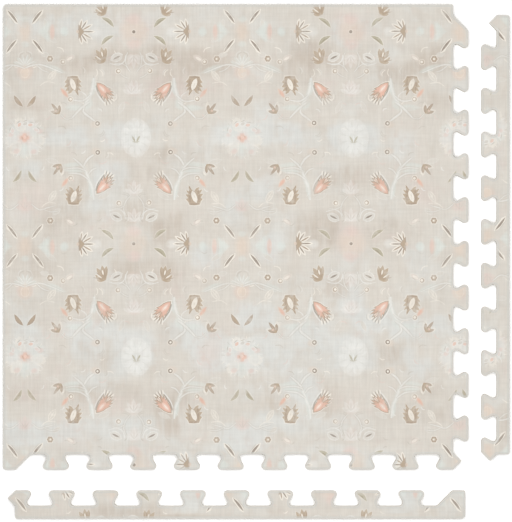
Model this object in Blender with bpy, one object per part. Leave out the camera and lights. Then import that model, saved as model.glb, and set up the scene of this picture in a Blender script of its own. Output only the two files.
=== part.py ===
"""A baby play mat: one square of printed foam with puzzle teeth, and the two loose border strips that
finish its toothed edges. The mat lies flat, print up, with its strips laid out beside it.

Metres, +Z up. The origin is on the floor, under the middle of the three pieces together. +X runs to the
toothed right edge, and +Y to the finished top edge.

Each outline is first written as if its strip were pushed home on the mat, measured right and down from
the mat's finished corner, so that every tooth and the notch that takes it come from one set of sizes."""

import math

import bpy

# The mat: 24 in from a finished edge to the tips of the teeth opposite, in half-inch foam.
MAT_SIZE = 0.6096
THICKNESS = 0.0127
EDGE_ROUND = 0.001

# The dovetail teeth, alike on all three pieces.
TOOTH_DEPTH = 0.020
TOOTH_PITCH = 0.0573
TOOTH_FLARE = 0.6  # how far a flank runs sideways for each unit of depth
TOOTH_ROUND = 0.0045
FIT_GAP = 0.0004  # the slack between a tooth and its notch
WHOLE_TEETH = 9  # on each toothed edge, besides the shaped one at its end
LEAD = 0.0403  # from the finished corner to the first tooth on the right, and to the first notch below

# The shaped ends of the toothed edges. Every slope there is at 45 degrees.
SHOULDER = 0.0142  # straight edge above the first tooth on the right
HEEL = 0.0166  # width of the lower left corner at the tips
CORNER_SHIFT = 0.0026  # how far the lower right corner's point lies off its diagonal
POINT_ROUND = 0.0012

# The border strips.
BAND = 0.0167  # the straight band behind a strip's teeth
OUTER_ROUND = 0.005  # at the finished corners
END_ROUND = 0.0025

# Where the strips lie, as they are moved out from the mat.
SIDE_STRIP_MOVE = 0.0374
BOTTOM_STRIP_MOVE = (-0.0209, 0.0478)  # left, down

ARC_STEP = math.radians(20)  # the longest turn between two points of a rounded corner

MAT_PRINT = (0.745, 0.700, 0.645)
FOAM_ROUGHNESS = 0.85

BODY = MAT_SIZE - TOOTH_DEPTH  # from a finished edge to the roots of the teeth opposite
OUTSIDE = MAT_SIZE + BAND  # from a finished edge to the far side of a strip pushed home
MIDDLE = BODY + TOOTH_DEPTH / 2


def clear_scene():
    for obj in list(bpy.data.objects):
        bpy.data.objects.remove(obj)


def rounded(corners):
    """The closed outline through corners, a list of (x, y, radius), with each corner turned on its radius."""
    points = []
    for i, (x, y, radius) in enumerate(corners):
        before, after = corners[i - 1], corners[(i + 1) % len(corners)]
        into = math.atan2(y - before[1], x - before[0])
        out = math.atan2(after[1] - y, after[0] - x)
        turn = math.remainder(out - into, math.tau)
        if radius == 0 or abs(turn) < 1e-6:
            points.append((x, y))
            continue
        reach = radius * math.tan(abs(turn) / 2)
        side = math.copysign(1, turn)
        start = (x - reach * math.cos(into), y - reach * math.sin(into))
        centre = (start[0] - side * radius * math.sin(into), start[1] + side * radius * math.cos(into))
        steps = math.ceil(abs(turn) / ARC_STEP)
        for step in range(steps + 1):
            angle = into + turn * step / steps
            points.append((centre[0] + side * radius * math.sin(angle), centre[1] - side * radius * math.cos(angle)))
    return points


def flank(at, side, rising, gap):
    """The root and tip corners of one flank, as (along, depth, radius), of the tooth whose middle is at."""
    half_root = TOOTH_PITCH / 4 - TOOTH_FLARE * TOOTH_DEPTH / 2 - gap / 2
    half_tip = TOOTH_PITCH / 4 + TOOTH_FLARE * TOOTH_DEPTH / 2 - gap / 2
    corners = [(at + side * half_root, 0, TOOTH_ROUND), (at + side * half_tip, TOOTH_DEPTH, TOOTH_ROUND)]
    return corners if rising else corners[::-1]


def tooth(at, gap=0.0):
    return flank(at, -1, True, gap) + flank(at, 1, False, gap)


def mat_outline():
    """Clockwise as seen in the layout, from the finished corner."""
    right = [(BODY + depth, along, radius) for along, depth, radius in flank(LEAD, 1, False, 0)]
    for k in range(1, WHOLE_TEETH + 1):
        right += [(BODY + depth, along, radius) for along, depth, radius in tooth(LEAD + k * TOOTH_PITCH)]
    below = []
    for k in range(WHOLE_TEETH):
        middle = LEAD + (k + 0.5) * TOOTH_PITCH
        below += [(along, BODY + depth, radius) for along, depth, radius in tooth(middle)]
    last = flank(LEAD + (WHOLE_TEETH + 0.5) * TOOTH_PITCH, -1, True, 0)
    below += [(along, BODY + depth, radius) for along, depth, radius in last]
    point = ((BODY + MAT_SIZE + CORNER_SHIFT) / 2, (BODY + MAT_SIZE - CORNER_SHIFT) / 2)
    return [
        (0, 0, OUTER_ROUND),
        (BODY, 0, POINT_ROUND),
        (BODY, SHOULDER, POINT_ROUND),
        (MAT_SIZE, SHOULDER + TOOTH_DEPTH, TOOTH_ROUND),
        *right,
        (BODY, BODY - CORNER_SHIFT, POINT_ROUND),
        (*point, POINT_ROUND),
        (BODY, MAT_SIZE, POINT_ROUND),
        *below[::-1],
        (HEEL + TOOTH_DEPTH, BODY, TOOTH_ROUND),
        (HEEL, MAT_SIZE, POINT_ROUND),
        (0, MAT_SIZE, END_ROUND),
    ]


def side_strip_outline():
    """The strip that finishes the right edge: its teeth point left, into the mat's notches."""
    teeth = []
    for k in range(WHOLE_TEETH):
        middle = LEAD + (k + 0.5) * TOOTH_PITCH
        teeth += [(MAT_SIZE - depth, along, radius) for along, depth, radius in tooth(middle, FIT_GAP)]
    last = flank(LEAD + (WHOLE_TEETH + 0.5) * TOOTH_PITCH, -1, True, FIT_GAP)
    teeth += [(MAT_SIZE - depth, along, radius) for along, depth, radius in last]
    point = ((BODY + MAT_SIZE + CORNER_SHIFT) / 2, (BODY + MAT_SIZE - CORNER_SHIFT) / 2)
    return [
        (OUTSIDE, SHOULDER, END_ROUND),
        (OUTSIDE, BODY, END_ROUND),
        (MAT_SIZE, BODY, 0),
        (*point, POINT_ROUND),
        (BODY, BODY - CORNER_SHIFT, POINT_ROUND),
        *teeth[::-1],
        (MAT_SIZE, SHOULDER + TOOTH_DEPTH, 0),
        (MIDDLE, SHOULDER + TOOTH_DEPTH / 2, POINT_ROUND),
        (MAT_SIZE, SHOULDER, 0),
    ]


def bottom_strip_outline():
    """The strip that finishes the lower edge. Its right end is the mat's outer corner."""
    teeth = [(along, MAT_SIZE - depth, radius) for along, depth, radius in flank(LEAD, 1, False, FIT_GAP)]
    for k in range(1, WHOLE_TEETH + 1):
        middle = LEAD + k * TOOTH_PITCH
        teeth += [(along, MAT_SIZE - depth, radius) for along, depth, radius in tooth(middle, FIT_GAP)]
    return [
        (HEEL + TOOTH_DEPTH, MAT_SIZE, 0),
        (HEEL + TOOTH_DEPTH / 2, MIDDLE, POINT_ROUND),
        (HEEL + TOOTH_DEPTH, BODY, POINT_ROUND),
        *teeth,
        (BODY, MAT_SIZE, TOOTH_ROUND),
        (MAT_SIZE, BODY, POINT_ROUND),
        (OUTSIDE, BODY, POINT_ROUND),
        (OUTSIDE, OUTSIDE, OUTER_ROUND),
        (HEEL + TOOTH_DEPTH, OUTSIDE, END_ROUND),
    ]


def printed_foam():
    material = bpy.data.materials.new("printed_foam")
    material.use_nodes = True
    surface = material.node_tree.nodes["Principled BSDF"]
    surface.inputs["Base Color"].default_value = (*MAT_PRINT, 1)
    surface.inputs["Roughness"].default_value = FOAM_ROUGHNESS
    surface.inputs["Metallic"].default_value = 0
    return material


def foam_sheet(name, corners, move, material, collection):
    """One flat sheet of foam cut to an outline, with its rims eased, lying on the floor."""
    curve = bpy.data.curves.new(name, "CURVE")
    curve.dimensions = "2D"
    curve.fill_mode = "BOTH"
    curve.extrude = THICKNESS / 2 - EDGE_ROUND
    curve.bevel_depth = EDGE_ROUND
    curve.bevel_resolution = 0
    curve.offset = -EDGE_ROUND
    outline = rounded(corners)
    spline = curve.splines.new("POLY")
    spline.points.add(len(outline) - 1)
    for point, (x, y) in zip(spline.points, outline):
        point.co = (x, -y, 0, 1)
    spline.use_cyclic_u = True
    curve.materials.append(material)
    sheet = bpy.data.objects.new(name, curve)
    all_across = OUTSIDE + SIDE_STRIP_MOVE
    all_down = OUTSIDE + BOTTOM_STRIP_MOVE[1]
    sheet.location = (move[0] - all_across / 2, all_down / 2 - move[1], THICKNESS / 2)
    collection.objects.link(sheet)
    return sheet


def main():
    clear_scene()
    collection = bpy.data.collections.new("baby_play_mat")
    bpy.context.scene.collection.children.link(collection)
    material = printed_foam()
    foam_sheet("mat_square", mat_outline(), (0, 0), material, collection)
    foam_sheet("side_border", side_strip_outline(), (SIDE_STRIP_MOVE, 0), material, collection)
    foam_sheet("bottom_border", bottom_strip_outline(), BOTTOM_STRIP_MOVE, material, collection)


main()
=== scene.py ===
"""The looks of the baby play mat: a printed upper face on soft closed-cell foam, with cut foam sides.

The print is a traditional floral all-over, laid out on a chart. Each motif is an outline that a function
draws, and the outlines are cut into the foam's upper face, so the print is crisp from close by. A soft
ground of washed tones lies under it, a slight linen streak over it, and a band of painted shade, a cooler
grey, along every edge, for the eased rim turning away from the light."""

import math
import random

import bmesh
import bpy
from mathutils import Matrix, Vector
from mathutils.geometry import delaunay_2d_cdt


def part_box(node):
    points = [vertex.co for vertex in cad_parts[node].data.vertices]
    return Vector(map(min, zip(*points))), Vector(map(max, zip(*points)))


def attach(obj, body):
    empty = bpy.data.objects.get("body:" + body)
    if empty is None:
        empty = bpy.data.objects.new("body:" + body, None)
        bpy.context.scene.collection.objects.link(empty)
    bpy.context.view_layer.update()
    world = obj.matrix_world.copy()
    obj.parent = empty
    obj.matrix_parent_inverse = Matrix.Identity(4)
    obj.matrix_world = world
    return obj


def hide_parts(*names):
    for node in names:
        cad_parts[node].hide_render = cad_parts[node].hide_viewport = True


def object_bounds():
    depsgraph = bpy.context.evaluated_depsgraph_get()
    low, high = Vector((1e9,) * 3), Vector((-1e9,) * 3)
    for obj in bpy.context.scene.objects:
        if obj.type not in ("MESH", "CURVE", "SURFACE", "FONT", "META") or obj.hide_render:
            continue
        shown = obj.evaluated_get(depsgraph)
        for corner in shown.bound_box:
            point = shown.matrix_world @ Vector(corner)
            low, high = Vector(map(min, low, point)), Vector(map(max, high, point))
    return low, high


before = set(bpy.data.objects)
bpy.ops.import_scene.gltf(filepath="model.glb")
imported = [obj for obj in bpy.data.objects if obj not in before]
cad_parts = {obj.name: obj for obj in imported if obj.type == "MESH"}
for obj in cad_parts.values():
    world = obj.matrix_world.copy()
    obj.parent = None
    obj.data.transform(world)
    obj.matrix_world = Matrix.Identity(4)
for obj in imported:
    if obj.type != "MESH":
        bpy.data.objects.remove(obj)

cad_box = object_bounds()
mat_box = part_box("mat_square")
chart_start = Vector((mat_box[0].x, mat_box[1].y))  # the mat's finished corner
chance = random.Random(24)  # the same draws on every run

PIECES = ("mat_square", "side_border", "bottom_border")

# The chart on which the print is laid out. It is measured in steps, right and down from the mat's
# finished corner, and a complex number is a place on it: x right, y down. In a motif, sizes and places
# are in steps, headings in degrees, and strengths run from 0 to 1.
STEP = 0.00130787  # metres
ROSE_COLUMNS = (-86.5, 131.0, 348.5, 566.0)
FLOWER_COLUMNS = (-195.7, 21.8, 239.5, 457.3)
ROSE_ROWS = (-85.4, 133.8, 353.0, 560.0)
DOT_ROWS = (27.3, 239.8, 461.1)
CROSS_ROWS = (27.3, 242.5, 462.0)
CLUSTER_ROWS = (3.7, 51.6, 270.0, 477.5)
# How each piece lies on the chart: 1, or -1 where it is turned round, and how far it is moved.
PRINT_PLACE = {"mat_square": (1, 0), "side_border": (-1, 942 + 476.8j), "bottom_border": (1, -17 + 244.4j)}
FAINT_MARKS = 52  # worn strokes in one half of a rosette's field
FIELD_START = 5  # where the worn strokes begin, right of the rosette's middle
FIELD_WIDE = 107
FIELD_HIGH = 108
SLIP = 0.4  # how far a motif may lie off its place
LEAST_FADE = 0.8
ROSETTE_SHIFT = 2.4  # how far right of their column's middle the rosettes lie
GROUND_GRID = 5.4  # steps between the points that carry the ground's tone

# How outlines are drawn.
LEAF_STATIONS = 5
STROKE_STEPS = 3  # steps of a stroke between two of its places
SOFT_SIZES = (1.2, 1.0, 0.82, 0.62)  # the layers of a soft shape
SOFT_SHARE = 0.4  # each layer's share of its strength
THIN_STEM = 2.3  # a stem less wide than this is drawn as a thin one

# The foam, in metres.
RIM = 0.001  # radius of the eased rims
RIM_STEPS = 2
SAME_POINT = 1e-5
CUT_CLOSENESS = 1e-7
TRIANGLES_INSIDE = 1  # the kind of cut that keeps only what lies in a shape
EDGE_SHADE_WIDTH = 0.0021  # width of the band of painted shade, a cooler grey, along every edge, standing in for the eased rim's shade
EDGE_SHADE_POINT_GAP = 0.0006  # the least distance between two points of the painted edge shade's inner line
LEAST_SPREAD = 0.4  # keeps an offset at a sharp corner from being drawn out too far

# The cut sheet's first two shapes, which have no ink: the whole face, and the part of it inside the band of
# painted edge shade.
ON_PIECE = 0
INSIDE_EDGE_SHADE = 1

# The printed face: sizes of its clouds, threads and bands, in metres.
BROAD_CLOUD = 0.05
PATCH_CLOUD = 0.016
MOTTLE_CLOUD = 0.008
WEAR_CLOUD = 0.009
STREAK = 0.005
UPRIGHT_THREAD = 0.0021
LEVEL_THREAD = 0.0024
UPRIGHT_BAND = 0.014
LEVEL_BAND = 0.016
GRAIN = 0.0012
GRAIN_DEPTH = 0.0004

# The cut sides.
CELLS_PER_METRE = 1600.0
CELL_DEPTH = 0.0003
SIDE_CLOUD = 0.02

# The studio.
LENS = 300.0  # millimetres
SENSOR = 36.0  # millimetres
VIEW_HEIGHT = 0.6840  # what the long side of the picture takes in, in metres
VIEW_SHIFT = (-0.00046, 0.00077)  # of the camera from the set's middle, right and up
FAR_END = 100
FLOOR_HALF = 20
FLOOR_DROP = 0.0004  # how far the floor lies under the foam
FLOOR_PAINT = (0.93, 0.93, 0.925, 1)
# Each lamp: name, place, size and power.
LAMPS = (("key", (-0.3, 0.35, 2.4), 1.5, 39.5), ("fill", (0.4, -0.35, 2.3), 1.5, 26.4))
SKY = 0.47

# Inks, as they look in the studio, from 0 to 255.
STUDIO_LEVEL = 1.48  # how bright the studio makes a white sheet
CREAM = (245, 238, 226)
CORAL = (231, 189, 170)
CORAL_LIGHT = (242, 212, 197)
PEACH = (227, 210, 194)
PINK = (228, 206, 197)
GOLD = (189, 170, 147)
GOLD_LIGHT = (210, 196, 177)
BROWN = (177, 159, 141)
DARK = (160, 148, 136)
OLIVE = (187, 180, 158)
OLIVE_DARK = (168, 158, 138)
WHITE = (235, 233, 227)
ROSETTE_PETAL = (238, 238, 234)
MINT = (222, 226, 219)
GREY = (212, 213, 205)
TAUPE = (200, 193, 182)
BLUSH = (230, 203, 190)
PALE_MINT = (222, 228, 222)

GROUND = (220, 214, 204)
GROUND_PALE = (222, 222, 217)
GROUND_DEEP = (204, 193, 180)
GROUND_ROSE = (223, 209, 200)
FOAM = (238, 234, 226)
FOAM_SHADE = (226, 220, 210)
# Painted shade along every edge, for the eased rim: its cool grey and its strength.
EDGE_SHADE_INK = (207, 207, 202)
EDGE_SHADE_STRENGTH = 0.6

# The tone of the ground in soft patches: place, half width, half height, strength.
TONE_SHARE = 0.85
TONE_FALL = 1.9  # how fast a patch fades towards its edge
TONE_END = 4  # where it has faded out
PALE_PATCHES = (
    (72 + 22j, 60, 14, 0.35),
    (360 + 22j, 30, 12, 0.35),
    (22 + 24j, 16, 14, 0.5),
    (138 + 24j, 18, 14, 0.4),
    (343 + 28j, 16, 18, 0.7),
    (263 + 112j, 16, 20, 0.6),
    (288 + 129j, 14, 13, 0.8),
    (122 + 131j, 30, 15, 1.0),
    (243 + 131j, 42, 12, 0.9),
    (62 + 133j, 28, 11, 0.8),
    (352 + 133j, 30, 15, 1.0),
    (300 + 138j, 22, 12, 0.4),
    (400 + 143j, 16, 20, 0.6),
    (28 + 166j, 14, 12, 0.7),
    (108 + 169j, 22, 14, 0.9),
    (338 + 178j, 20, 18, 0.3),
    (262 + 184j, 20, 16, 0.7),
    (232 + 200j, 16, 24, 0.5),
    (18 + 208j, 16, 14, 0.4),
    (98 + 208j, 16, 14, 0.5),
    (268 + 246j, 22, 18, 0.7),
    (203 + 254j, 20, 14, 0.7),
    (414 + 256j, 16, 20, 0.5),
    (348 + 296j, 16, 20, 0.5),
    (252 + 312j, 24, 16, 0.9),
    (370 + 317j, 24, 14, 0.9),
    (22 + 320j, 18, 12, 0.5),
    (440 + 320j, 16, 12, 0.5),
    (86 + 325j, 34, 10, 0.8),
    (402 + 326j, 17, 12, 0.7),
    (182 + 331j, 22, 18, 0.8),
    (306 + 331j, 28, 18, 0.8),
    (83 + 341j, 20, 14, 1.0),
    (28 + 342j, 24, 20, 0.5),
    (203 + 344j, 20, 24, 0.9),
    (131 + 346j, 26, 26, 1.0),
    (352 + 348j, 24, 22, 1.0),
    (240 + 350j, 40, 20, 1.0),
    (400 + 350j, 14, 12, 0.4),
    (207 + 358j, 16, 14, 0.5),
    (280 + 358j, 16, 14, 0.5),
    (418 + 366j, 16, 14, 0.6),
    (84 + 377j, 22, 10, 0.6),
    (296 + 382j, 16, 16, 0.8),
    (308 + 390j, 14, 16, 0.8),
    (300 + 420j, 80, 14, 0.5),
    (120 + 426j, 90, 16, 0.6),
    (18 + 430j, 26, 14, 1.0),
    (40 + 430j, 40, 12, 0.4),
    (240 + 434j, 30, 14, 0.9),
    (230 + 452j, 220, 14, 0.35),
)
DEEP_PATCHES = (
    (306 + 46j, 26, 16, 1.0),
    (160 + 50j, 24, 12, 1.0),
    (98 + 51j, 16, 9, 0.7),
    (123 + 54j, 20, 12, 1.0),
    (428 + 54j, 24, 18, 0.8),
    (204 + 56j, 30, 14, 1.0),
    (338 + 58j, 30, 12, 0.6),
    (208 + 60j, 20, 18, 0.7),
    (70 + 61j, 34, 12, 0.8),
    (18 + 62j, 26, 18, 0.5),
    (422 + 62j, 16, 14, 0.4),
    (296 + 66j, 24, 16, 0.8),
    (170 + 68j, 30, 22, 0.3),
    (392 + 72j, 22, 14, 0.9),
    (168 + 74j, 26, 14, 0.7),
    (430 + 96j, 16, 14, 0.6),
    (24 + 100j, 26, 8, 0.9),
    (20 + 134j, 18, 16, 0.4),
    (165 + 151j, 16, 12, 0.8),
    (192 + 160j, 14, 12, 0.5),
    (30 + 170j, 24, 14, 0.2),
    (122 + 172j, 20, 16, 0.2),
    (150 + 172j, 30, 14, 0.4),
    (344 + 172j, 30, 14, 0.6),
    (340 + 180j, 40, 16, 0.1),
    (76 + 182j, 18, 14, 0.6),
    (286 + 186j, 14, 16, 0.5),
    (54 + 208j, 34, 16, 0.6),
    (134 + 208j, 18, 16, 0.7),
    (168 + 224j, 20, 18, 0.8),
    (52 + 226j, 18, 14, 0.5),
    (322 + 226j, 20, 24, 1.0),
    (156 + 231j, 20, 16, 0.7),
    (298 + 231j, 18, 20, 0.6),
    (386 + 231j, 28, 20, 0.6),
    (20 + 256j, 26, 20, 0.5),
    (162 + 264j, 20, 12, 0.8),
    (48 + 266j, 20, 14, 0.5),
    (128 + 268j, 22, 14, 1.0),
    (290 + 274j, 18, 18, 0.35),
    (165 + 280j, 18, 14, 0.7),
    (334 + 284j, 18, 16, 0.9),
    (168 + 336j, 14, 16, 0.5),
    (88 + 348j, 24, 9, 0.3),
    (376 + 350j, 26, 10, 0.5),
    (392 + 350j, 12, 12, 0.8),
    (96 + 356j, 30, 12, 0.3),
    (118 + 388j, 28, 14, 0.6),
    (430 + 388j, 18, 10, 0.7),
    (76 + 390j, 22, 12, 0.7),
    (20 + 392j, 20, 8, 0.7),
    (172 + 394j, 20, 14, 0.6),
    (270 + 398j, 20, 14, 0.7),
    (330 + 398j, 14, 18, 0.9),
    (392 + 408j, 24, 14, 0.4),
    (430 + 410j, 18, 12, 0.7),
    (162 + 412j, 18, 18, 0.7),
    (168 + 428j, 14, 10, 0.8),
)
ROSE_PATCHES = (
    (350 + 22j, 20, 20, 0.6),
    (134 + 24j, 24, 18, 0.8),
    (240 + 70j, 30, 20, 0.4),
    (160 + 84j, 26, 14, 0.7),
    (320 + 84j, 14, 12, 0.7),
    (20 + 133j, 20, 16, 0.6),
    (456 + 133j, 20, 16, 0.6),
    (420 + 190j, 20, 14, 0.5),
    (30 + 196j, 26, 22, 0.6),
    (348 + 238j, 18, 20, 0.9),
    (206 + 352j, 14, 20, 0.5),
    (100 + 400j, 30, 12, 0.6),
)


def linear(colour):
    """How much light a surface gives back, from how its colour looks in the studio."""
    return tuple(((part / 255 + 0.055) / 1.055) ** 2.4 / STUDIO_LEVEL for part in colour)


def heading(degrees):
    """A turn on the chart: 0 is right, 90 is down."""
    return complex(math.cos(math.radians(degrees)), math.sin(math.radians(degrees)))


# Outlines. Each is a list of places about 0, with the motif's tip to the right.


def leaf(length, width, bend=0.0, fullness=0.8):
    """A leaf that points both ways. A greater fullness makes it slimmer towards its ends."""
    near, far = [], []
    for i in range(LEAF_STATIONS + 1):
        along = i / LEAF_STATIONS
        swell = math.sin(math.pi * along)
        middle = complex(length * (along - 0.5), bend * swell)
        half = width / 2 * swell**fullness
        near.append(middle + 1j * half)
        far.append(middle - 1j * half)
    return near + far[-2:0:-1]


def disc(width, height=None, count=12):
    """A round or an oval of that many points."""
    height = width if height is None else height
    turns = [math.tau * i / count for i in range(count)]
    return [complex(width / 2 * math.cos(turn), height / 2 * math.sin(turn)) for turn in turns]


def scalloped(width, height, petals, depth):
    """A round whose rim is a ring of petal ends."""
    outline = []
    for i in range(petals * 4):
        turn = math.tau * i / (petals * 4)
        reach = 1 - depth + depth * abs(math.cos(petals * turn / 2)) ** 0.5
        outline.append(reach / 2 * complex(width * math.cos(turn), height * math.sin(turn)))
    return outline


def both_sides(half, size=1.0):
    """The outline whose one side is given from base to tip, and whose other side mirrors it."""
    mirrored = [point.conjugate() for point in half[::-1] if point.imag]
    return [point * size for point in (*half, *mirrored)]


def ribbon(places, width):
    """A smooth stroke of that width through places, thinner at both ends."""
    route = []
    for i in range(len(places) - 1):
        before = places[max(i - 1, 0)]
        start, end = places[i], places[i + 1]
        after = places[min(i + 2, len(places) - 1)]
        for step in range(STROKE_STEPS):
            t = step / STROKE_STEPS
            along = t * (end - before) / 2
            along += t * t * (before - 2.5 * start + 2 * end - after / 2)
            along += t * t * t * (1.5 * (start - end) + (after - before) / 2)
            route.append(start + along)
    route.append(places[-1])
    near, far = [], []
    for i, place in enumerate(route):
        ahead = route[min(i + 1, len(route) - 1)] - route[max(i - 1, 0)]
        side = 1j * ahead / abs(ahead)
        half = width / 2 * (0.25 + 0.75 * math.sin(math.pi * (i + 0.5) / len(route)) ** 0.5)
        near.append(place + side * half)
        far.append(place - side * half)
    return near + far[::-1]


def at(outline, place=0, turn=0.0):
    """The outline turned, then moved to a place."""
    return [place + point * heading(turn) for point in outline]


# Layers. Each is an outline, its ink and the ink's strength, and the first of a list lies lowest.


def soft(outline, ink, strength, place=0, turn=0.0):
    """An outline with a blurred edge: four layers of it, each smaller than the last."""
    layers = []
    for size in SOFT_SIZES:
        sized = [point * size for point in outline]
        layers.append((at(sized, place, turn), ink, strength * SOFT_SHARE))
    return layers


def fan(reach, width, turns, root, ink, strength, start=0.0, fullness=0.6):
    """Leaves that spread from a root, one for each heading, and start at a distance from it."""
    petal = leaf(reach, width, fullness=fullness)
    return [(at(petal, root + (start + reach / 2) * heading(turn), turn), ink, strength) for turn in turns]


def outlined(outline, line, ink, strength):
    """A shape drawn as a line: its outline in ink, and a smaller one in it in the ground's colour."""
    wide = max(point.real for point in outline)
    high = max(point.imag for point in outline)
    inner = [complex(point.real * (1 - line / wide), point.imag * (1 - line / high)) for point in outline]
    return [(outline, ink, strength), (inner, GROUND, 0.85)]


# Motifs. Each gives its layers.


CORAL_SIDE = (
    -11.5 + 0j, -9 + 2.2j, -5 + 4.1j, -1 + 4.8j, 3.2 + 6.6j, 2.4 + 4.6j,
    7.4 + 6.4j, 5.4 + 3.8j, 10.8 + 4.6j, 7.6 + 2.0j, 12 + 1.4j, 9.4 + 0j,
)
GOLD_RIM = (
    -8.6 - 5j, -9 + 0j, -8.6 + 5j, -5.4 + 6.2j, -2.6 + 8.6j, -1.6 + 6.2j,
    2.2 + 8.8j, 2 + 5.8j, 6.4 + 8j, 5 + 4.8j, 11.5 + 5.4j, 7.4 + 2.6j,
    4.2 + 0.8j, 7.8 - 2j, 9 - 4.8j, 5.4 - 4.8j, 6.8 - 8.4j, 2.2 - 5.8j,
    2 - 8.8j, -1.6 - 6.2j, -3 - 8.2j, -5.4 - 6.2j,
)
CRESCENT = (-3.4, -2.4 - 2.6j, -2 - 7.6j, 1 - 3.6j, 4, 1 + 3.6j, -2 + 7.6j, -2.4 + 2.6j)


def coral_bud():
    """A thistle: a coral body with swept points, and a beard of cream and dark hairs."""
    layers = [(both_sides(CORAL_SIDE, 1.17), CREAM, 0.6)]
    layers += fan(7, 1.4, (-38, -23, -8, 7), 1 - 1j, CREAM, 0.9, start=7)
    layers += fan(6.4, 1.0, (-31, -15, 0), 1 - 1j, DARK, 0.75, start=7)
    layers += [(both_sides(CORAL_SIDE, 1.03), BROWN, 0.95)]
    layers += [(ribbon([-10 - 2.4j, -4 - 5.2j, 2 - 6.2j, 8 - 6.8j], 1.2), DARK, 0.8)]
    layers += [(ribbon([-9 - 4.6j, -3 - 7j, 4 - 8j, 10 - 8j], 1.1), WHITE, 0.9)]
    layers += [(at(both_sides(CORAL_SIDE, 0.86), -0.8), CORAL, 1.0)]
    layers += fan(7, 2.0, (-30, 30), 0.5, GOLD, 0.4, start=1.5) + fan(8, 0.9, (-18, 18), 1, BROWN, 0.8)
    layers += fan(6.5, 1.1, (-9, 10), 3.4, CREAM, 0.75)
    layers += [(at(leaf(5, 1.6), 5.4), GOLD, 0.6), (at(leaf(12, 4.2), -3), CORAL_LIGHT, 0.7)]
    return layers + [(at(leaf(7.5, 1.8), -3.4), CREAM, 0.7)]


def gold_bud():
    """An open bud: ragged gold sides about a slanting cream heart."""
    layers = [([point * 1.13 for point in GOLD_RIM], CREAM, 0.4), (GOLD_RIM, GOLD, 0.95)]
    layers += [(ribbon([-7.4 - 5j, -8 - 1j, -8 + 1j, -7.4 + 5j], 1.9), BROWN, 0.9)]
    layers += [(ribbon([-6 - 4.4j, 0 - 4.6j, 5.6 - 4j], 1.9), BROWN, 0.8)]
    layers += [(ribbon([-6 + 4.4j, 0 + 4.6j, 6 + 4.0j, 10 + 4.6j], 1.9), BROWN, 0.8)]
    layers += fan(5, 0.9, (44, -44), -3, GOLD_LIGHT, 0.7, start=5)
    layers += fan(5, 0.9, (36, -36), 1, GOLD_LIGHT, 0.7, start=5)
    layers += [(at(leaf(14.5, 6.8, fullness=0.55), -0.4, 18), BROWN, 0.5)]
    layers += [(at(leaf(13, 5.2, fullness=0.5), -0.6, 18), CREAM, 1.0)]
    return layers + [(at(leaf(4, 0.8), 0, 18), TAUPE, 0.5)]


def sprig():
    """Three narrow leaves from one stalk, the middle one longest."""
    layers = fan(12, 5.2, (-56, -18, 18), -6, CREAM, 0.4)
    layers += [(at(disc(6.5, 5.5, 10), -2.4 - 0.4j), GOLD, 0.85)]
    layers += fan(8.6, 3.4, (-56,), -5.4, BROWN, 0.95) + fan(13, 3.1, (-18,), -5.4, BROWN, 0.95)
    layers += fan(8.4, 3.2, (18,), -5 + 0.6j, BROWN, 0.9) + fan(6, 1.0, (-56, -18, 18), -4.4, GOLD_LIGHT, 0.7)
    return layers + [(at(disc(3, 3, 8), -4.4), GOLD, 0.9), (at(disc(2.2, 2.2, 8), -1), CORAL_LIGHT, 0.7)]


def leaf_cluster():
    """A palm leaf that stands upright: gold fingers close together, parted by cream."""
    root = -3.5 + 6j
    fingers = ((14, -98), (15, -80), (14.5, -56), (10.5, -26), (8, 0))
    layers = []
    for reach, turn in fingers:
        layers += fan(reach + 1, 5.6, (turn,), root, CREAM, 0.25)
    for reach, turn in fingers:
        layers += fan(reach, 4.2, (turn,), root, GOLD, 0.9, fullness=0.5)
    layers += [(at(disc(8, 7, 10), root + 2 - 2j), GOLD, 0.9)]
    layers += fan(11, 1.0, (-104, -89, -68, -42, -12), root, BROWN, 0.8, start=1)
    layers += fan(5.5, 1.7, (-76,), root, CREAM, 0.95, start=5)
    return layers + fan(6.5, 1.5, (-34,), root, CREAM, 0.9, start=3)


def spray():
    """Dark hairs that fan out, each edged with cream, from a small gold crescent."""
    turns = (-80, -56, -30, 0, 30, 56, 80)
    layers = []
    for turn in turns:
        reach = 8 + 3 * math.cos(math.radians(turn))
        layers += fan(reach + 1.92, 3.8, (turn,), -2.5, CREAM, 0.9, start=3)
    for i, turn in enumerate(turns):
        reach = 8 + 3 * math.cos(math.radians(turn))
        layers += fan(reach, 1.4, (turn,), -2.5, (BROWN, DARK)[i % 2], 1.0, start=3)
    layers += [(at(CRESCENT, -1.5), BROWN, 0.9), ([point * 0.7 - 1 for point in CRESCENT], GOLD, 0.9)]
    return layers + [(at(disc(3, 4, 8), -4.6), PEACH, 0.8)]


def dot():
    """A dark dot with a faint cream ring."""
    return [(disc(5.2), CREAM, 0.3), (disc(3.3), DARK, 1.0)]


def berry():
    """A dark ring about a cream heart, with a blush beside it."""
    layers = soft(disc(10, 7), PEACH, 0.4, 2 + 1j)
    layers += [(disc(6.4), CREAM, 0.5), (disc(4.8), DARK, 0.95)]
    return layers + [(at(disc(2.3, count=8), 0.2), CREAM, 1.0)]


def pale_berry():
    """The berry in a lighter ink, without its blush."""
    layers = [(disc(6.4), CREAM, 0.5), (disc(4.6), BROWN, 0.75)]
    return layers + [(at(disc(2.9, count=8), -0.3 - 0.2j), CREAM, 1.0)]


def ring_flower():
    """A small brown flower with a pale heart."""
    layers = [(scalloped(8.6, 8.6, 6, 0.2), CREAM, 0.5), (scalloped(6.4, 6.4, 6, 0.18), BROWN, 0.95)]
    return layers + [(disc(3.4), GOLD_LIGHT, 0.9), (at(disc(2, count=8), 0.3), CREAM, 1.0)]


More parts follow.
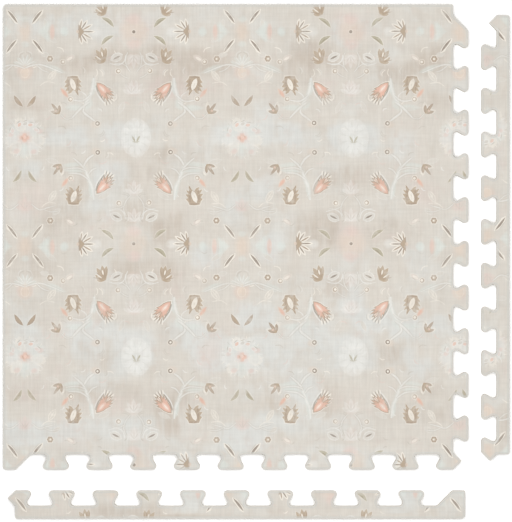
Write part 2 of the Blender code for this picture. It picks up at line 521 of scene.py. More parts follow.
def dark_stroke():
    """A dark stroke on a broader cream one, with a thin taupe one on each side."""
    layers = [(leaf(19.5, 5.8, fullness=0.6), CREAM, 0.9), (at(leaf(17, 2.4, bend=0.4), 0.3j), DARK, 1.0)]
    return layers + [(at(leaf(12, 0.9), 1 - 2.2j), TAUPE, 0.9), (at(leaf(12, 0.9), -1 + 2.8j), TAUPE, 0.8)]


def green_stroke():
    """A bent olive leaf with a darker vein."""
    layers = [(leaf(17.5, 6.2, bend=1.6), CREAM, 0.4), (leaf(16, 3.9, bend=1.8), OLIVE, 1.0)]
    return layers + [(at(leaf(11, 1.2, bend=1.4), -0.5j), OLIVE_DARK, 0.8)]


def brown_leaf():
    """A brown leaf with a gold vein."""
    layers = [(leaf(16, 6.2, bend=0.8), CREAM, 0.3), (leaf(14.8, 4.2, bend=1.0), BROWN, 0.95)]
    return layers + [(leaf(10.5, 1.6, bend=0.8), GOLD, 0.95)]


def olive_leaf():
    """An olive leaf with a brown vein."""
    layers = [(leaf(16, 5.8, bend=1.4), CREAM, 0.3), (leaf(15, 3.8, bend=1.6), OLIVE, 0.95)]
    return layers + [(leaf(11, 1.5, bend=1.3), BROWN, 0.55)]


def coral_stroke():
    """A soft coral leaf, washed out at its edge."""
    return soft(leaf(13, 5.6), PEACH, 0.6) + soft(leaf(10.5, 3.4), CORAL, 0.9) + [(leaf(7, 1.0), CORAL, 0.6)]


def veined_leaf():
    """An oval leaf drawn as a white line, with a dark vein."""
    layers = outlined(leaf(14, 9, fullness=0.55), 0.9, WHITE, 0.8)
    layers += [(leaf(9.5, 3.6), WHITE, 0.4), (at(leaf(8.6, 2.0), 0.3j), DARK, 0.95)]
    return layers + [(ribbon([-9 + 2j, -5 + 7j, 2 + 7.6j, 9 + 2j], 1.2), WHITE, 0.8)]


def small_leaf():
    """A pale rosy leaf with a thin dark edge on one side."""
    layers = [(leaf(12, 6.4, fullness=0.6), CREAM, 0.25), (leaf(9.6, 4.6, fullness=0.6), GROUND_ROSE, 0.6)]
    return layers + [(at(leaf(7, 2.6, fullness=0.6), 0.6), CREAM, 0.7), (at(leaf(6, 0.9), 2.2j), TAUPE, 0.7)]


def drawn_leaf():
    """A leaf drawn as a line, with its veins."""
    layers = outlined(leaf(14, 6.4, fullness=0.6), 0.8, CREAM, 0.6)
    return layers + [(leaf(11, 0.9), CREAM, 0.6)] + fan(4, 0.8, (-40, 40), -1, CREAM, 0.4)


def curled_leaf():
    """The drawn leaf on a stalk that curls."""
    layers = [(at(outline, 3 - 3j, -52), ink, strength) for outline, ink, strength in drawn_leaf()]
    return layers + [(ribbon([-9 + 7j, -5 + 4j, -1 + 3j, 6 + 4.4j], 1.2), CREAM, 0.55)]


def lotus(ink=WHITE, strength=0.42):
    """Five pale petals that open from one point."""
    layers = soft(disc(14, 12), PINK, 0.25)
    layers += fan(10, 4.2, (-64, 64), -5, ink, strength)
    layers += fan(12.5, 4.6, (-33, 33), -5, ink, strength)
    return layers + fan(14.5, 4.6, (0,), -5.5, ink, strength) + fan(8, 0.9, (-34, 0, 34), -4, TAUPE, 0.45)


def pink_lotus():
    """The lotus in a faint pink."""
    return lotus(PINK, 0.28)


def rosette():
    """The white oval flower, washed out at its edge, with a few small strokes at its heart."""
    layers = soft(disc(26, 34, 16), WHITE, 0.5) + [(scalloped(30.5, 39, 11, 0.06), WHITE, 0.34)]
    for i in range(11):
        turn = 360 * i / 11 + 15
        out = heading(turn)
        petal = at(leaf(12, 5, fullness=0.6), complex(9 * out.real, 12 * out.imag), turn)
        out = heading(turn + 16)
        parting = at(leaf(8, 0.9), complex(10.5 * out.real, 13.5 * out.imag), turn + 16)
        layers += [(petal, ROSETTE_PETAL, 0.3), (parting, GREY, 0.4)]
    layers += soft(disc(9, 10), GREY, 0.3, 1j)
    layers += fan(8.4, 1.8, (-120, -60), 5j, OLIVE, 0.85) + fan(8, 1.5, (-90,), 5j, ROSETTE_PETAL, 0.8)
    return layers + fan(4, 1.2, (-156, -24), 5j, OLIVE, 0.5)


# The great flower's stamens: heading, ink and strength.
STAMENS = ((-150, PINK, 0.6), (-112, CORAL, 0.75), (-88, TAUPE, 0.6), (-66, CORAL, 0.7), (-34, PINK, 0.6))


def great_flower():
    """The big washed flower: broad pale petals with hatched edges about a coral heart, under an arc of
    stamens."""
    layers = soft(disc(37, 39, 16), WHITE, 0.28)
    for i in range(9):
        turn = 40 * i + 12
        petal = at(leaf(16, 12, fullness=0.5), 13.5 * heading(turn), turn)
        layers.append((petal, (CREAM, WHITE, MINT)[i % 3], 0.4))
        layers.append((at(leaf(12, 8.4, fullness=0.5), 12.6 * heading(turn), turn), GROUND_PALE, 0.4))
        layers.append((at(leaf(7, 0.9), 18 * heading(turn + 20), turn + 26), WHITE, 0.7))
        layers.append((at(leaf(5, 0.8), 19 * heading(turn + 13), turn + 20), TAUPE, 0.45))
        layers.append((at(leaf(4, 0.8), 20 * heading(turn - 9), turn - 30), CREAM, 0.7))
    for place, size in ((15.3 - 6.3j, 6.5), (-13.5 - 3j, 5.5), (-8 + 13.5j, 6.5), (9 + 14j, 6)):
        layers += soft(disc(size, size * 0.8, 9), PINK, 0.6, place, -20)
    for turn, ink, strength in STAMENS:
        layers += [(at(leaf(7.5, 4.6), 14 * heading(turn), turn + 60), WHITE, 0.7)]
        layers += [(at(leaf(5, 3.2), 14 * heading(turn), turn + 60), ink, strength)]
        layers += [(at(leaf(5, 1.0), 16.8 * heading(turn), turn + 70), TAUPE, 0.9)]
    layers += soft(leaf(13, 6, fullness=0.5), MINT, 0.6, 9j, 90)
    layers += soft(disc(13, 12), PINK, 0.4) + soft(scalloped(9, 8.6, 4, 0.3), CORAL, 0.9)
    layers += [(at(leaf(4.4, 1.6), -2.2 + 0.6j, 70), BROWN, 0.4)]
    layers += [(at(leaf(4, 1.4), 2 - 1.4j, 30), BROWN, 0.35)]
    return layers + [(at(disc(3.2, 3.8, 8), 0.3 - 0.6j), CORAL_LIGHT, 0.75)]


def teardrop():
    """A peach drop under a crown of pale petals."""
    layers = soft(disc(17, 16), PINK, 0.45)
    layers += fan(13, 3.4, (-66, -40, -14, 14, 40, 66), 4, MINT, 0.5)
    layers += fan(12, 1.1, (-62, -35, -12, 12, 35, 62), 5, WHITE, 0.7)
    layers += soft(leaf(15, 13, fullness=0.5), PEACH, 0.75, -1.6)
    return layers + [(at(disc(11, 9.5), -1.8), CREAM, 0.35), (at(disc(9.4, 7.8), -1.8), PEACH, 0.75)]


def mint_leaf(length=22, width=6):
    """A soft pale leaf."""
    return soft(leaf(length, width), MINT, 0.6)


def mint_arrow():
    """A soft pale wedge that points to the middle of the cross."""
    return soft([-6.5, 2.5 - 9j, 4.5 - 8j, 3 + 0j, 4.5 + 8j, 2.5 + 9j], MINT, 0.9)


def vine(places, width):
    """A pale stem. The thin ones have faint dark edges, and the thick ones soft light ones."""
    thin = width < THIN_STEM
    edge = (ribbon(places, width + 1.8), TAUPE, 0.38) if thin else (ribbon(places, width + 2.2), MINT, 0.45)
    return [edge, (ribbon(places, width * 0.9), WHITE, min(0.4 + 0.2 * width, 0.85))]


# Where the motifs go. Each row is a place about a middle, a motif and its heading, for the motif on the
# right. It is mirrored to the left, and the rows below a rosette are given as if they lay above it.

ABOVE_ROSETTE = (
    (29.5 - 47j, coral_bud, 132),
    (60.8 - 52.8j, gold_bud, 92),
    (79 - 27.8j, sprig, -34),
    (69.5 - 45j, coral_stroke, 128),
    (64 - 38.8j, pale_berry, 0),
    (36.5 - 14.6j, berry, 0),
    (17.5 - 80.8j, veined_leaf, 27),
    (16 - 67j, pale_berry, 0),
    (64 - 80j, small_leaf, 32),
    (71 - 76j, pale_berry, 0),
)
BELOW_ROSETTE = (
    (29.8 - 47.5j, coral_bud, 132),
    (60.3 - 58.1j, gold_bud, 92),
    (77 - 30.2j, sprig, -34),
    (68.5 - 44.5j, coral_stroke, 128),
    (63.5 - 40j, pale_berry, 0),
    (36.5 - 14.4j, berry, 0),
    (18 - 79.3j, veined_leaf, 27),
    (15.5 - 65j, pale_berry, 0),
    (63.5 - 84j, small_leaf, 32),
)
ON_ROSETTE_COLUMN = (
    (2 - 49j, lotus, -90),
    (0 + 51j, lotus, -90),
    (0 - 78j, lotus, 90),
    (0 + 79j, lotus, -90),
)
ABOUT_DOT = (
    (0, dot, 0),
    (26.5 - 9j, green_stroke, 142),
    (26.5 + 9j, green_stroke, -142),
    (51.5 + 0j, spray, 180),
)
ON_FLOWER_COLUMN = (
    (0, great_flower, 0),
    (30 - 69j, mint_leaf, 20),
    (0 - 67j, teardrop, -90),
    (0 + 68j, pink_lotus, -90),
)
ABOUT_FLOWER = (
    (6.4 - 37j, brown_leaf, -52),
    (7.4 + 38.5j, olive_leaf, 54),
    (25.5 - 79j, ring_flower, 0),
    (25.5 + 83j, ring_flower, 0),
    (24 - 59j, curled_leaf, 0),
    (25 + 62j, curled_leaf, -6),
)
ABOUT_CROSS = (
    (20 + 0j, mint_arrow, 0),
    (12.8 - 15j, dark_stroke, 128),
    (12.8 + 14.5j, dark_stroke, -128),
)
BESIDE_ROSE_COLUMN = ((33.2 + 0j, leaf_cluster, 0),)

# Stems, as places that each runs through and its width. The first two lists lie about a rosette, and
# the third about a great flower.

VINES_ABOVE = (
    ((40 - 60j, 41 - 50j, 44 - 41j, 49 - 33j), 2.4),
    ((43 - 43j, 51 - 37j, 61.5 - 38j), 1.7),
    ((49 - 33j, 51 - 26j, 44 - 20j, 39.5 - 16.5j), 2.1),
    ((44 - 36j, 52 - 30j, 62 - 19.5j), 2.1),
    ((61 - 20j, 68 - 19j, 73 - 24j), 0.9),
    ((3 - 66j, 7 - 72j, 8 - 80j, 6 - 86j), 1.3),
    ((6 - 70j, 12 - 74j, 20 - 74j), 1.1),
    ((5 - 60j, 10 - 62j, 15 - 66j), 1.0),
)
VINES_BELOW = (
    ((40.5 - 62j, 42 - 50j, 45.5 - 42j, 48 - 34j, 50.5 - 28j), 2.4),
    ((50.5 - 28.5j, 46 - 21j, 40 - 16.5j), 2.1),
    ((48 - 34j, 53 - 27j, 61 - 20j), 1.8),
    ((45.5 - 42j, 54 - 36j, 66 - 35j), 1.7),
    ((48 - 33j, 56 - 30j, 68 - 31j), 1.5),
    ((46 - 37j, 42 - 32j, 37 - 30j), 1.6),
    ((3 - 58j, 8 - 64j, 10 - 72j, 7 - 79j), 1.3),
    ((9 - 68j, 15 - 71j, 22 - 70j), 1.1),
)
VINES_ABOUT_FLOWER = (
    ((0.5 - 70j, 10 - 73j, 19 - 72.5j, 38 - 65j), 1.7),
    ((12 - 73j, 18 - 68j, 24 - 66j), 1.3),
    ((6 + 66j, 14 + 72j, 22 + 70j, 30 + 68j), 1.4),
    ((18 + 71j, 26 + 74j, 34 + 73j), 1.1),
)
# Broad pale leaves on the stems: place, length, width and heading.
LEAVES_ABOVE = ((58 - 30j, 22, 6, 0), (39 - 50j, 14, 4, 80), (45 - 33j, 12, 7, 60))
LEAVES_BELOW = ((62 - 27j, 24, 5, -6), (43 - 52j, 16, 4.4, 84), (60 - 33j, 20, 5, 4))

# Soft washes of colour: place, width, height, ink and strength.
WASHES_ON_CROSS = (
    (0, 15, 25, PEACH, 0.5),
    (0, 9, 15, PEACH, 0.45),
    (27.5 + 0j, 4.6, 14, BLUSH, 1.0),
    (39.5 + 0j, 8, 9, PALE_MINT, 0.7),
    (12.5j, 8, 6, PALE_MINT, 0.4),
    (-12.5j, 8, 6, PALE_MINT, 0.4),
)
WASHES_ON_DOT = (
    (0, 26, 26, PEACH, 0.55),
    (-13j, 14, 11, PINK, 0.5),
    (13j, 14, 11, PINK, 0.5),
    (38 + 0j, 10, 9, WHITE, 0.5),
)


def spread_motif(found, layers, middle, place, turn=0.0, down=1):
    """Adds the motif at a place about a middle, and its mirror image to the left. With down as -1 both
    are mirrored up and down too. Each lies a little off its place and is a little faded, as printed."""
    sides = (1, -1) if place.real else (1,)
    for across in sides:
        shift = complex(chance.uniform(-SLIP, SLIP), chance.uniform(-SLIP, SLIP))
        fade = chance.uniform(LEAST_FADE, 1.0)
        for outline, ink, strength in layers:
            placed = [place + shift + point * heading(turn) for point in outline]
            mirrored = [middle + complex(across * point.real, down * point.imag) for point in placed]
            found.append((mirrored, ink, strength * fade))


def spread_stems(found, stems, middle, down=1):
    """Adds each stem and its mirror image, as spread_motif does."""
    for places, width in stems:
        centre = places[len(places) // 2]
        spread_motif(found, vine([place - centre for place in places], width), middle, centre, 0, down)


def spread_washes(found, washes, middle):
    """Adds each soft wash and its mirror image."""
    for place, width, height, ink, strength in washes:
        spread_motif(found, soft(disc(width, height), ink, strength), middle, place)


FAINT_INKS = ((WHITE, 0.8), (CREAM, 0.7), (PINK, 0.6), (TAUPE, 0.65), (TAUPE, 0.45))


def faint_marks():
    """The worn rest of the drawing between the motifs of one rosette's field, all to its right: for each
    mark its place, heading and layers."""
    marks = []
    for i in range(FAINT_MARKS):
        place = complex(chance.uniform(FIELD_START, FIELD_WIDE), chance.uniform(-FIELD_HIGH, FIELD_HIGH))
        reach = chance.uniform(4, 10)
        ink, strength = chance.choice(FAINT_INKS)
        curve = [-reach / 2, -reach / 6 + 0.16j * reach, reach / 6 + 0.2j * reach, reach / 2]
        layers = [(ribbon(curve, 1.1), ink, strength)]
        if i % 3 == 0:
            layers += [(ribbon([point + 1.7j for point in curve], 0.9), (TAUPE, WHITE)[i % 2], 0.45)]
        if i % 8 == 0:
            layers = outlined(leaf(reach + 5, 5.5, fullness=0.6), 0.7, WHITE, 0.4)
        marks.append((place, chance.uniform(0, 180), layers))
    return marks


def spread_faint_marks(found):
    """Adds the same worn strokes about every rosette."""
    marks = faint_marks()
    for column in ROSE_COLUMNS:
        for row in ROSE_ROWS:
            for place, turn, layers in marks:
                spread_motif(found, layers, complex(column, row), place, turn)


def spread_about(found, motifs, middle, down=1):
    """Adds each motif of a list of places about a middle."""
    for place, motif, turn in motifs:
        spread_motif(found, motif(), middle, place, turn, down)


def spread_flower_columns(found):
    """The columns of crosses and great flowers."""
    for column in FLOWER_COLUMNS:
        for row in CROSS_ROWS:
            middle = complex(column, row)
            spread_washes(found, WASHES_ON_CROSS, middle)
            spread_about(found, ABOUT_CROSS, middle)
        for row in ROSE_ROWS:
            middle = complex(column, row)
            spread_about(found, ON_FLOWER_COLUMN, middle)
            spread_stems(found, VINES_ABOUT_FLOWER, middle)
            spread_about(found, ABOUT_FLOWER, middle)


def spread_rose_columns(found):
    """The columns of dots, rosettes and leaf clusters."""
    above = (1, LEAVES_ABOVE, VINES_ABOVE, ABOVE_ROSETTE)
    below = (-1, LEAVES_BELOW, VINES_BELOW, BELOW_ROSETTE)
    for column in ROSE_COLUMNS:
        for row in DOT_ROWS:
            middle = complex(column, row)
            spread_washes(found, WASHES_ON_DOT, middle)
            spread_about(found, ABOUT_DOT, middle)
        for row in ROSE_ROWS:
            middle = complex(column, row)
            spread_motif(found, rosette(), middle + ROSETTE_SHIFT, 0)
            spread_about(found, ON_ROSETTE_COLUMN, middle)
            for down, leaves, stems, motifs in (above, below):
                for place, length, width, turn in leaves:
                    spread_motif(found, mint_leaf(length, width), middle, place, turn, down)
                spread_stems(found, stems, middle, down)
                spread_about(found, motifs, middle, down)
        for row in CLUSTER_ROWS:
            spread_about(found, BESIDE_ROSE_COLUMN, complex(column, row))


def print_layers():
    """Every layer of the whole print, from the lowest up."""
    found = []
    spread_faint_marks(found)
    spread_flower_columns(found)
    spread_rose_columns(found)
    return found


def on_chart(point, name):
    """The place on the chart of a point of that piece."""
    turned, moved = PRINT_PLACE[name]
    return (complex(point.x - chart_start.x, chart_start.y - point.y) / STEP - moved) * turned


def in_frame(place, name):
    """Where a place on the chart lies on that piece."""
    turned, moved = PRINT_PLACE[name]
    place = place * turned + moved
    return Vector((chart_start.x + place.real * STEP, chart_start.y - place.imag * STEP))


def top_outline(name):
    """The outline of the CAD node's flat upper face, in order, counterclockwise from above."""
    solid = bmesh.new()
    solid.from_mesh(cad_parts[name].data)
    bmesh.ops.remove_doubles(solid, verts=solid.verts, dist=SAME_POINT)
    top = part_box(name)[1].z - SAME_POINT
    flat = {face for face in solid.faces if all(vert.co.z > top for vert in face.verts)}
    follow = {}
    for face in flat:
        for loop in face.loops:
            if loop.link_loop_radial_next.face not in flat:
                follow[loop.vert] = loop.link_loop_next.vert
    first = here = next(iter(follow))
    outline = []
    while True:
        outline.append(Vector(here.co.xy))
        here = follow[here]
        if here == first:
            break
    solid.free()
    return outline


def signed_area(points):
    """The area within the points: over 0 where they run counterclockwise."""
    return sum(a.x * b.y - b.x * a.y for a, b in zip(points, points[1:] + points[:1])) / 2


def clear_of(shape, low, high):
    """Whether the shape lies wholly to one side of the box from low to high."""
    if max(p.x for p in shape) < low.x or min(p.x for p in shape) > high.x:
        return True
    return max(p.y for p in shape) < low.y or min(p.y for p in shape) > high.y


def cut_print(name):
    """The upper face cut along every motif: its points, its faces, and the ink on each face."""
    outline = top_outline(name)
    low = Vector((min(p.x for p in outline), min(p.y for p in outline)))
    high = Vector((max(p.x for p in outline), max(p.y for p in outline)))
    # The inner line of the band of painted edge shade.
    inner = edge_shade_line(outline)
    points = outline + inner
    polygons = [list(range(len(outline))), list(range(len(outline), len(points)))]
    inks = [None, None]
    for places, colour, strength in print_layers():
        shape = [in_frame(place, name) for place in places]
        if clear_of(shape, low, high):
            continue
        if signed_area(shape) < 0:
            shape.reverse()
        polygons.append(list(range(len(points), len(points) + len(shape))))
        points += shape
        inks.append((linear(colour), strength))
    pitch = GROUND_GRID * STEP
    for i in range(1, int((high.x - low.x) / pitch)):
        for j in range(1, int((high.y - low.y) / pitch)):
            points.append(Vector((low.x + i * pitch, low.y + j * pitch)))
    cut = delaunay_2d_cdt(points, [], polygons, TRIANGLES_INSIDE, CUT_CLOSENESS, True)
    places, faces, sources = cut[0], cut[2], cut[5]
    kept = [(face, source) for face, source in zip(faces, sources) if ON_PIECE in source]
    return places, [face for face, _ in kept], [blend_inks(source, inks) for _, source in kept]


def blend_inks(layers, inks):
    """The one ink that the layers over a face make, with the painted edge shade on top: its colour, and how
    much it covers."""
    colour, cover = Vector((0, 0, 0)), 0.0
    found = [inks[layer] for layer in sorted(layers) if inks[layer]]
    # Faces in the band along the edge take the painted edge shade.
    if INSIDE_EDGE_SHADE not in layers:
        found.append((linear(EDGE_SHADE_INK), EDGE_SHADE_STRENGTH))
    for ink, strength in found:
        cover_after = strength + cover * (1 - strength)
        colour = (Vector(ink) * strength + colour * cover * (1 - strength)) / cover_after
        cover = cover_after
    return (*colour, cover)


def tone(place, patches):
    """How strongly the patches colour the ground at that place on the chart. They are soft oblongs."""
    total = 0.0
    for middle, wide, high, strength in patches:
        away = ((place.real - middle.real) / wide) ** 4 + ((place.imag - middle.imag) / high) ** 4
        if away < TONE_END:
            total += TONE_SHARE * strength * math.exp(-TONE_FALL * away)
    return min(total, 1.0)


def outward(ring):
    """For each place of a closed ring, the way out of the foam there, longer at a corner so that an offset
    by it keeps its width."""
    ways = []
    for i, place in enumerate(ring):
        before = (place - ring[i - 1]).normalized()
        after = (ring[(i + 1) % len(ring)] - place).normalized()
        way = Vector((before.y + after.y, -before.x - after.x)).normalized()
        spread = max(way.dot(Vector((before.y, -before.x))), LEAST_SPREAD)
        ways.append(way / spread)
    return ways


def edge_shade_line(outline):
    """The inner line of the band of painted edge shade along that outline."""
    sparse = [outline[0]]
    for place in outline[1:]:
        nearest = min((place - sparse[-1]).length, (place - sparse[0]).length)
        if nearest > EDGE_SHADE_POINT_GAP:
            sparse.append(place)
    return [place - way * EDGE_SHADE_WIDTH for place, way in zip(sparse, outward(sparse))]


def ordered_rim(sheet):
    """The open edge of the sheet as a ring of points, counterclockwise from above."""
    follow = {}
    for edge in sheet.edges:
        if edge.is_boundary:
            loop = edge.link_loops[0]
            follow[loop.vert] = loop.link_loop_next.vert
    first = here = next(iter(follow))
    ring = []
    while True:
        ring.append(here)
        here = follow[here]
        if here == first:
            return ring


def close_foam(sheet, top):
    """Turns the printed face into a closed body of foam: an eased rim, an upright side, a rim and a base."""
    ring = ordered_rim(sheet)
    start = [Vector(vert.co.xy) for vert in ring]
    ways = outward(start)
    section = []
    for i in range(1, RIM_STEPS + 1):
        turn = math.pi / 2 * i / RIM_STEPS
        section.append((RIM * math.sin(turn), top - RIM * (1 - math.cos(turn))))
    for i in range(RIM_STEPS + 1):
        turn = math.pi / 2 * i / RIM_STEPS
        section.append((RIM * math.cos(turn), RIM * (1 - math.sin(turn))))
    for out, height in section:
        edges = [sheet.edges.get((ring[i - 1], ring[i])) for i in range(len(ring))]
        made = bmesh.ops.extrude_edge_only(sheet, edges=edges)["geom"]
        follow = {}
        for vert in ring:
            for edge in vert.link_edges:
                other = edge.other_vert(vert)
                if other in made:
                    follow[vert] = other
        ring = [follow[vert] for vert in ring]
        for vert, place, way in zip(ring, start, ways):
            vert.co = (place.x + way.x * out, place.y + way.y * out, height)
    base = sheet.faces.new(ring[::-1])
    bmesh.ops.triangulate(sheet, faces=[base])


def lay_print(mesh, name, inks):
    """Puts the inks on the mesh's first faces, and the ground's tone on its points."""
    mesh.attributes.new("ink", "FLOAT_COLOR", "CORNER")
    mesh.attributes.new("ground", "FLOAT_COLOR", "POINT")
    ink = mesh.attributes["ink"].data
    for face, colour in zip(mesh.polygons[: len(inks)], inks):
        for corner_index in face.loop_indices:
            ink[corner_index].color = colour
    for vert, value in zip(mesh.vertices, mesh.attributes["ground"].data):
        place = on_chart(vert.co, name)
        value.color = (tone(place, PALE_PATCHES), tone(place, DEEP_PATCHES), tone(place, ROSE_PATCHES), 1)


def foam_piece(name):
    """One piece of the mat, in place of its CAD node: a closed foam body with the print in its face."""
    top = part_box(name)[1].z
    places, faces, inks = cut_print(name)
    sheet = bmesh.new()
    verts = [sheet.verts.new((place.x, place.y, top)) for place in places]
    for face in faces:
        sheet.faces.new([verts[i] for i in face])
    bmesh.ops.delete(sheet, geom=[vert for vert in sheet.verts if not vert.link_faces], context="VERTS")
    printed = len(sheet.faces)
    close_foam(sheet, top)
    mesh = bpy.data.meshes.new(name + "_foam")
    for i, face in enumerate(sheet.faces):
        face.smooth = i >= printed
        face.material_index = 0 if i < printed else 1
    sheet.to_mesh(mesh)
    sheet.free()
    piece = bpy.data.objects.new(name + "_foam", mesh)
    bpy.context.scene.collection.objects.link(piece)
    lay_print(mesh, name, inks)
    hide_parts(name)
    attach(piece, "root")
    return piece


class Wire:
    """An output socket of a material's nodes. Sums on it add the Math nodes that work them out."""

    def __init__(self, tree, socket=None):
        self.tree = tree
        self.socket = socket

    def node(self, kind, settings, sockets, output=0):
        """Adds a node with those settings, then those values or wires on its sockets."""
        made = self.tree.nodes.new(kind)
        for name, value in settings.items():
            setattr(made, name, value)
        for name, value in sockets.items():
            if isinstance(value, Wire):
                self.tree.links.new(value.socket, made.inputs[name])
            else:
                made.inputs[name].default_value = value
        return Wire(self.tree, made.outputs[output])

    def maths(self, operation, *values):
        return self.node("ShaderNodeMath", {"operation": operation}, dict(enumerate(values)))

    def __add__(self, other):
        return self.maths("ADD", self, other)

    def __sub__(self, other):
        return self.maths("SUBTRACT", self, other)

    def __rsub__(self, other):
        return self.maths("SUBTRACT", other, self)

    def __mul__(self, other):
        return self.maths("MULTIPLY", self, other)

    __radd__ = __add__

    def ramp(self, low, high):
        """0 below low, 1 above high, and a soft rise between."""
        sockets = {"Value": self, "From Min": low, "From Max": high}
        return self.node("ShaderNodeMapRange", {"interpolation_type": "SMOOTHSTEP"}, sockets)

    def mix(self, without, full):
        """The first colour where this is 0, and the second where it is 1."""
        return self.node("ShaderNodeMix", {"data_type": "RGBA"}, {0: self, 6: without, 7: full}, output=2)

    def cloud(self, size, stretch=(1, 1, 1), detail=2.0):
        """Noise at this place, from 0 to 1, with features of that size in metres, longer along an axis whose
        stretch is over 1."""
        scale = [1 / (size * part) for part in stretch]
        place = self.node("ShaderNodeMapping", {}, {"Vector": self, "Scale": scale})
        return self.node("ShaderNodeTexNoise", {}, {"Vector": place, "Scale": 1.0, "Detail": detail})


def new_finish(name):
    """(the material, its Principled shader, a wire of the place on the object)"""
    material = bpy.data.materials.new(name)
    material.use_nodes = True
    tree = material.node_tree
    place = Wire(tree).node("ShaderNodeTexCoord", {}, {}, output="Object")
    return material, tree.nodes["Principled BSDF"], place


def plug(wire, shader, socket):
    """Runs the wire into that socket of the shader."""
    wire.tree.links.new(wire.socket, shader.inputs[socket])


def ground_colour(place, broad, patchy, mottle):
    """The washed ground: pale, deep and rosy tones, broken up by clouds and streaks."""
    ground = place.node("ShaderNodeAttribute", {"attribute_name": "ground"}, {}, output="Color")
    pale = ground.node("ShaderNodeSeparateColor", {}, {0: ground})
    deep = Wire(pale.tree, pale.socket.node.outputs[1])
    rose = Wire(pale.tree, pale.socket.node.outputs[2])
    streaks = place.cloud(STREAK, (1, 7, 1), 3.0)
    pale_share = pale + broad.ramp(0.46, 0.7) * 0.35 - patchy.ramp(0.5, 0.8) * 0.3 + mottle * 0.3
    deep_share = (deep * 1.1 + patchy.ramp(0.42, 0.72) * 0.35) * (streaks.ramp(0.3, 0.65) * 0.45 + 0.62)
    rose_share = rose * 0.8 + (1 - broad).ramp(0.45, 0.75) * 0.35 + (1 - mottle).ramp(0.5, 0.7) * 0.3
    colour = pale_share.ramp(0.12, 0.9).mix((*linear(GROUND), 1), (*linear(GROUND_PALE), 1))
    colour = deep_share.ramp(-0.15, 1.45).mix(colour, (*linear(GROUND_DEEP), 1))
    return rose_share.ramp(0.0, 1.2).mix(colour, (*linear(GROUND_ROSE), 1))


def printed_face():
    """The ground with the inks over it, a little worn, under linen threads and faint woven bands."""
    material, shader, place = new_finish("printed_foam_face")
    broad = place.cloud(BROAD_CLOUD, (1.6, 1, 1), 3.0)
    patchy = place.cloud(PATCH_CLOUD, (1, 1.5, 1), 3.0)
    mottle = place.cloud(MOTTLE_CLOUD, (1, 1.3, 1), 3.0)
    upright = place.cloud(UPRIGHT_THREAD, (1, 16, 1), 3.0)
    level = place.cloud(LEVEL_THREAD, (14, 1, 1), 2.0)
    ink = place.node("ShaderNodeAttribute", {"attribute_name": "ink"}, {}, output="Color")
    cover = place.node("ShaderNodeAttribute", {"attribute_name": "ink"}, {}, output="Alpha")
    wear = 1 - place.cloud(WEAR_CLOUD, detail=4.0).ramp(0.5, 0.72) * 0.5
    colour = (cover * wear).mix(ground_colour(place, broad, patchy, mottle), ink)
    bands = place.cloud(UPRIGHT_BAND, (1, 12, 1), 2.0) + place.cloud(LEVEL_BAND, (12, 1, 1), 2.0)
    light = 0.718 + upright * 0.2 + level * 0.11 + mottle * 0.08 + bands * 0.09  # about 1 on average
    shade = light.node("ShaderNodeCombineColor", {}, {0: light, 1: light, 2: light})
    blended = {"data_type": "RGBA", "blend_type": "MULTIPLY"}
    colour = colour.node("ShaderNodeMix", blended, {0: 1.0, 6: colour, 7: shade}, output=2)
    plug(colour, shader, "Base Color")
    plug(0.62 + upright * 0.2, shader, "Roughness")
    grain = upright * 0.5 + level * 0.4 + place.cloud(GRAIN, detail=2.0) * 0.5
    bump = grain.node("ShaderNodeBump", {}, {"Strength": 0.35, "Distance": GRAIN_DEPTH, "Height": grain})
    plug(bump, shader, "Normal")
    shader.inputs["Specular IOR Level"].default_value = 0.3
    return material


def cut_foam():
    """Pale foam with fine open cells."""
    material, shader, place = new_finish("cut_foam_side")
    cells = place.node("ShaderNodeTexVoronoi", {}, {"Vector": place, "Scale": CELLS_PER_METRE})
    cloudy = place.cloud(SIDE_CLOUD, detail=3.0)
    shade = (cells * 0.25 + cloudy * 0.5).ramp(0.1, 0.8)
    plug(shade.mix((*linear(FOAM_SHADE), 1), (*linear(FOAM), 1)), shader, "Base Color")
    plug(0.8 + cells * 0.15, shader, "Roughness")
    bump = cells.node("ShaderNodeBump", {}, {"Strength": 0.4, "Distance": CELL_DEPTH, "Height": cells})
    plug(bump, shader, "Normal")
    shader.inputs["Specular IOR Level"].default_value = 0.25
    return material


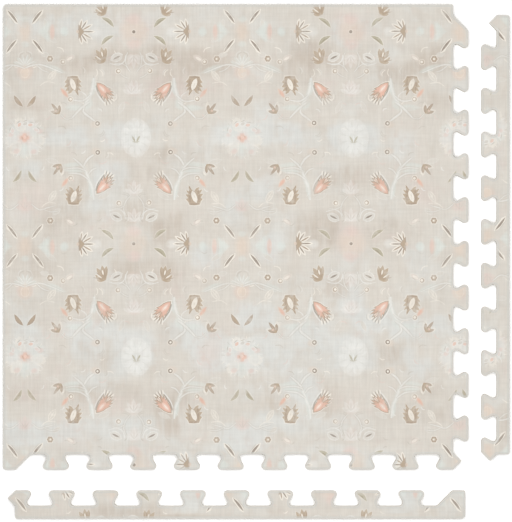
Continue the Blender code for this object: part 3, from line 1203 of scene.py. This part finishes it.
def camera_above(middle, top):
    """The camera, straight above and far off, as in the photograph."""
    camera = bpy.data.cameras.new("camera")
    camera.lens = LENS
    camera.sensor_width = SENSOR
    camera.clip_end = FAR_END
    camera_object = bpy.data.objects.new("camera", camera)
    distance = VIEW_HEIGHT * LENS / SENSOR
    camera_object.location = (middle.x + VIEW_SHIFT[0], middle.y + VIEW_SHIFT[1], top + distance)
    bpy.context.scene.collection.objects.link(camera_object)
    bpy.context.scene.camera = camera_object


def pale_floor():
    """A broad plain floor, laid just under the foam."""
    floor_mesh = bpy.data.meshes.new("floor")
    sheet = bmesh.new()
    bmesh.ops.create_grid(sheet, x_segments=1, y_segments=1, size=FLOOR_HALF)
    bmesh.ops.translate(sheet, vec=(0, 0, -FLOOR_DROP), verts=sheet.verts)
    sheet.to_mesh(floor_mesh)
    sheet.free()
    floor = bpy.data.objects.new("floor", floor_mesh)
    floor_paint = bpy.data.materials.new("floor_paint")
    floor_paint.use_nodes = True
    paint = floor_paint.node_tree.nodes["Principled BSDF"]
    paint.inputs["Base Color"].default_value = FLOOR_PAINT
    paint.inputs["Roughness"].default_value = 0.9
    paint.inputs["Specular IOR Level"].default_value = 0.1
    floor_mesh.materials.append(floor_paint)
    bpy.context.scene.collection.objects.link(floor)


def lamps_over(middle):
    """Large soft lamps that face the middle of the set."""
    for name, place, size, power in LAMPS:
        light = bpy.data.lights.new(name, "AREA")
        light.shape = "SQUARE"
        light.size = size
        light.energy = power
        lamp = bpy.data.objects.new(name, light)
        lamp.location = place
        lamp.rotation_mode = "QUATERNION"
        lamp.rotation_quaternion = (middle - Vector(place)).to_track_quat("-Z", "Y")
        bpy.context.scene.collection.objects.link(lamp)


def studio():
    """The camera straight above, a pale floor, and soft light from over the mat."""
    scene = bpy.context.scene
    low, high = cad_box
    middle = (low + high) / 2
    camera_above(middle, high.z)
    pale_floor()
    lamps_over(middle)
    world = bpy.data.worlds.new("studio")
    world.use_nodes = True
    background = world.node_tree.nodes["Background"]
    background.inputs["Color"].default_value = (1, 1, 1, 1)
    background.inputs["Strength"].default_value = SKY
    scene.world = world
    scene.view_settings.view_transform = "Standard"


def main():
    """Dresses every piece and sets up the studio."""
    face, side = printed_face(), cut_foam()
    for name in PIECES:
        piece = foam_piece(name)
        piece.data.materials.append(face)
        piece.data.materials.append(side)
    studio()


main()
